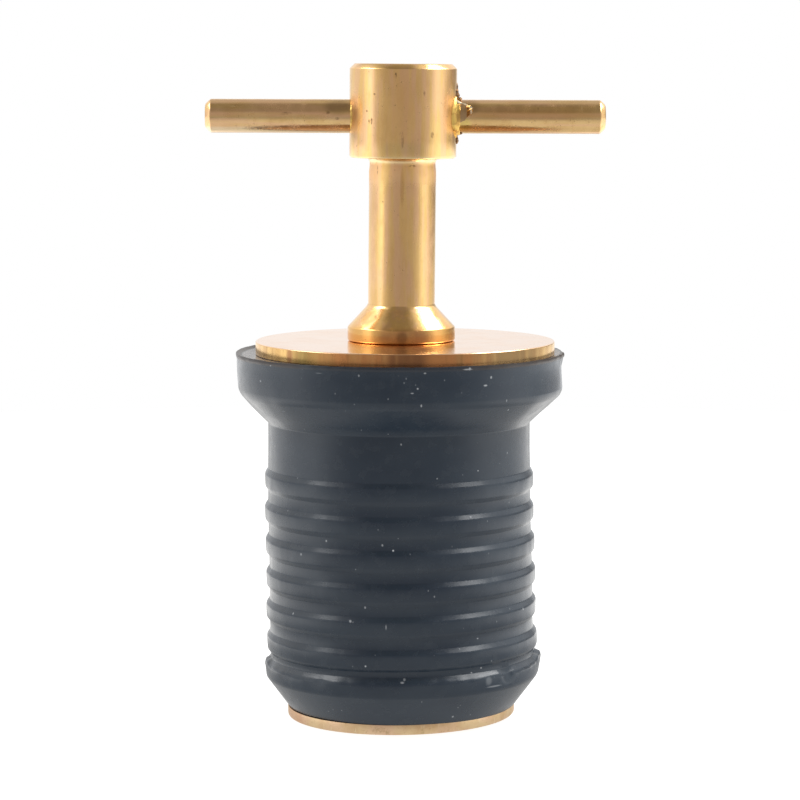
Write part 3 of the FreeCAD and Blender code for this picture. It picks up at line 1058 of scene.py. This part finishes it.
def make_stem():
    """Turned stem: tapped foot, flared neck, relief and cross-drilled boss, leaning a little."""
    foot = STEM_FOOT
    foot_radius = 6.2
    rim = foot + FOOT_RIM
    flare = (4.02, foot + 3.95)
    tapped = 2.55
    shank = 3.85
    relief = 3.78
    boss = BOSS_RADIUS
    boss_corner = (boss - 0.03, BOSS_FOOT)
    chamfer = 0.55
    stem = turned("stem_visual", [
        (0, foot + 20.53),
        (tapped, foot + 19.0),
        (tapped, foot + 0.35),
        (2.9, foot),
        (foot_radius, foot),
        (foot_radius, rim),
        flare,
        (shank, foot + 4.3),
        (shank, 56.0),
        (shank, 63.2),
        (relief, 63.9),
        (relief, BOSS_FOOT - 0.55),
        (3.86, BOSS_FOOT - 0.28),
        (4.08, BOSS_FOOT - 0.08),
        (4.4, BOSS_FOOT),
        boss_corner,
        (boss, BAR_AXIS - 2.6),
        (boss, BAR_AXIS),
        (boss, BAR_AXIS + 2.6),
        (boss, BOSS_TOP - chamfer),
        (boss - chamfer, BOSS_TOP),
        (0, BOSS_TOP),
    ])
    ease(stem, [(foot_radius, foot)], 0.3, 4)
    ease(stem, [(foot_radius, rim)], 0.12, 3)
    ease(stem, [boss_corner], 0.16, 3)
    ease(stem, [(boss, BOSS_TOP - chamfer), (boss - chamfer, BOSS_TOP)], 0.26, 4)
    ease(stem, [flare], 0.2, 3)

    def leaning(place):
        tapped_hole = from_axis(place) <= 2.7 * MM and place.z <= BOSS_FOOT * MM
        return place.z > (foot + 1.9) * MM and not tapped_hole

    edit(stem)
    pick(stem, leaning)
    pivot = (0, 0, rim * MM)
    bpy.ops.transform.rotate(value=-LEAN, orient_axis="Y", center_override=pivot)
    done()
    deselect()
    bpy.ops.mesh.primitive_cylinder_add(vertices=72, radius=1.955 * MM, depth=16 * MM)
    drill = bpy.context.object
    lay_along_bar(drill)
    modify(stem, "BOOLEAN", operation="DIFFERENCE", object=drill, solver="EXACT")
    bpy.data.objects.remove(drill)
    smooth(stem)
    dress(stem, stem_finish(), "turned_brass", "handle", "handle_stem")


def tear(outline, amount, grain):
    """A ring of torn metal round the bar; its heights are distances from the boss's axis."""
    ring = turned("tear", outline, facets=96)
    modify(ring, "SUBSURF", levels=1, render_levels=1, subdivision_type="SIMPLE")
    highest = max(abs(height) for _, height in outline)
    roughen(ring, amount, grain, lambda place: (abs(place.z) - highest + 0.9) / 0.6, detail=1)
    lay_along_bar(ring)
    return ring


def chip(place, size, amount):
    """A ragged crumb of brass, drawn out along each axis."""
    deselect()
    bpy.ops.mesh.primitive_ico_sphere_add(subdivisions=4, radius=MM, location=Vector(place) * MM)
    crumb = bpy.context.object
    crumb.scale = size
    settle(crumb)
    roughen(crumb, amount, 0.5, detail=1)
    return crumb


def join(name, first, *others):
    """Make one piece of several."""
    take(first)
    for piece in others:
        piece.select_set(True)
    bpy.ops.object.join()
    first.name = name
    smooth(first, even=False)
    return first


def make_burrs():
    """Metal that the drill and the pressed bar tore up round both ends of the boss's hole."""
    right_edge = [
        (2.5, 5.2), (2.78, 5.2), (2.72, 5.75), (2.62, 6.1), (2.52, 6.12), (2.46, 5.8), (2.5, 5.2),
    ]
    right_collar = [
        (1.9, 5.2), (2.3, 5.2), (2.26, 6.0), (2.14, 6.45), (2.04, 6.52), (1.93, 6.3), (1.9, 5.2),
    ]
    left_edge = [
        (1.9, -5.5), (2.12, -5.5), (2.08, -5.85), (2.02, -6.02), (1.93, -5.95), (1.9, -5.5),
    ]
    rings = [
        tear(right_edge, 0.24, 1.1),
        tear(right_collar, 0.30, 1.1),
        tear(left_edge, 0.16, 0.8),
    ]
    yellow = torn_finish("torn bright brass", (0.88, 0.60, 0.17), (0.66, 0.40, 0.12))
    dress(join("hole_burrs_visual", *rings), yellow, "turned_brass", "handle")
    side = BOSS_RADIUS + BOSS_SHIFT
    chips = [
        chip((side + 0.02, -0.5, 72.0), (0.26, 0.3, 0.62), 0.34),
        chip((side + 0.02, -0.3, 72.9), (0.17, 0.26, 0.5), 0.3),
        chip((side + 0.24, -0.6, 71.45), (0.36, 0.3, 0.26), 0.3),
        chip((side - 0.02, -0.4, 67.0), (0.2, 0.26, 0.62), 0.28),
        chip((side + 0.3, -0.5, 67.55), (0.34, 0.22, 0.14), 0.16),
    ]
    brown = torn_finish("torn dark brass", (0.38, 0.24, 0.13), (0.22, 0.13, 0.07))
    dress(join("hole_chips_visual", *chips), brown, "turned_brass", "handle")


def make_curl():
    """Sliver of brass peeled off the hole's edge and curled over the front of the bar."""
    middle_angle = 18
    foot = BOSS_RADIUS - 0.1
    outline = [(BAR_RADIUS + 0.03, foot + 0.1 * step) for step in range(27)]
    curl = turned("curl_visual", outline, facets=240)
    lay_along_bar(curl)

    def angle(place):
        return math.degrees(math.atan2(place.z - BAR_AXIS * MM, -place.y))

    def spread(turn):
        """How far the sliver reaches along the bar at an angle up from the front."""
        ragged = 0.09 * math.sin(turn * 0.31) + 0.05 * math.sin(turn * 0.83)
        return foot + BOSS_SHIFT + 1.95 * (1 - ((turn - middle_angle) / 44) ** 2) + ragged

    def outside(place):
        turn = angle(place)
        return abs(turn - middle_angle) > 46 or place.x > spread(turn) * MM

    def edge(place):
        turn = angle(place)
        return turn > -8 and place.x > (spread(turn) - 0.12) * MM

    edit(curl)
    pick(curl, outside)
    bpy.ops.mesh.delete(type="VERT")
    bpy.ops.mesh.select_all(action="SELECT")
    bpy.ops.mesh.vertices_smooth(factor=0.5, repeat=5)
    done()
    push(curl, edge, (0.02, -0.42, 0.2), 0.6)
    roughen(curl, 0.05, 1.0, detail=0)
    modify(curl, "SOLIDIFY", thickness=0.12 * MM, offset=1.0)
    smooth(curl, even=False)
    # The sliver's face stays brown, and the rim round it is painted near white as a highlight.
    face = ((foot + BOSS_SHIFT - 0.1, -1.9, BAR_AXIS + 0.42), (2.15, 9.0, 1.45))
    finish = torn_finish("peeled brass", (0.98, 0.88, 0.68), (0.48, 0.32, 0.165), face)
    dress(curl, finish, "turned_brass", "handle")


def make_bar():
    """Cross bar, bevelled at both ends, turned upright and then laid along X."""
    bar = turned("bar_visual", [
        (0, BAR_LEFT),
        (1.32, BAR_LEFT),
        (1.45, BAR_LEFT + 0.08),
        (BAR_RADIUS, BAR_LEFT + 0.6),
        (BAR_RADIUS, -6.0),
        (BAR_RADIUS, 6.0),
        (BAR_RADIUS, BAR_RIGHT - 0.6),
        (1.45, BAR_RIGHT - 0.08),
        (1.32, BAR_RIGHT),
        (0, BAR_RIGHT),
    ], facets=96)
    ease(bar, [(BAR_RADIUS, BAR_LEFT + 0.6), (BAR_RADIUS, BAR_RIGHT - 0.6)], 0.14, 3)
    lay_along_bar(bar)
    smooth(bar)
    dress(bar, bar_finish(), "bar_brass", "handle", "cross_bar")


bpy.context.scene.view_settings.view_transform = "Standard"
set_camera()
lay_floor()
light_tent()
hang_lamp("high right lamp", 110, 50, 0.20, 0.20, 8.0)
hang_lamp("right lamp", 94, 44, 0.48, 0.18, 3.8)
hang_lamp("left lamp", -97, 42, 0.32, 0.15, 3.6)
make_bottom_washer()
make_stud()
make_bung()
make_top_washer()
make_stem()
make_bar()
make_burrs()
make_curl()
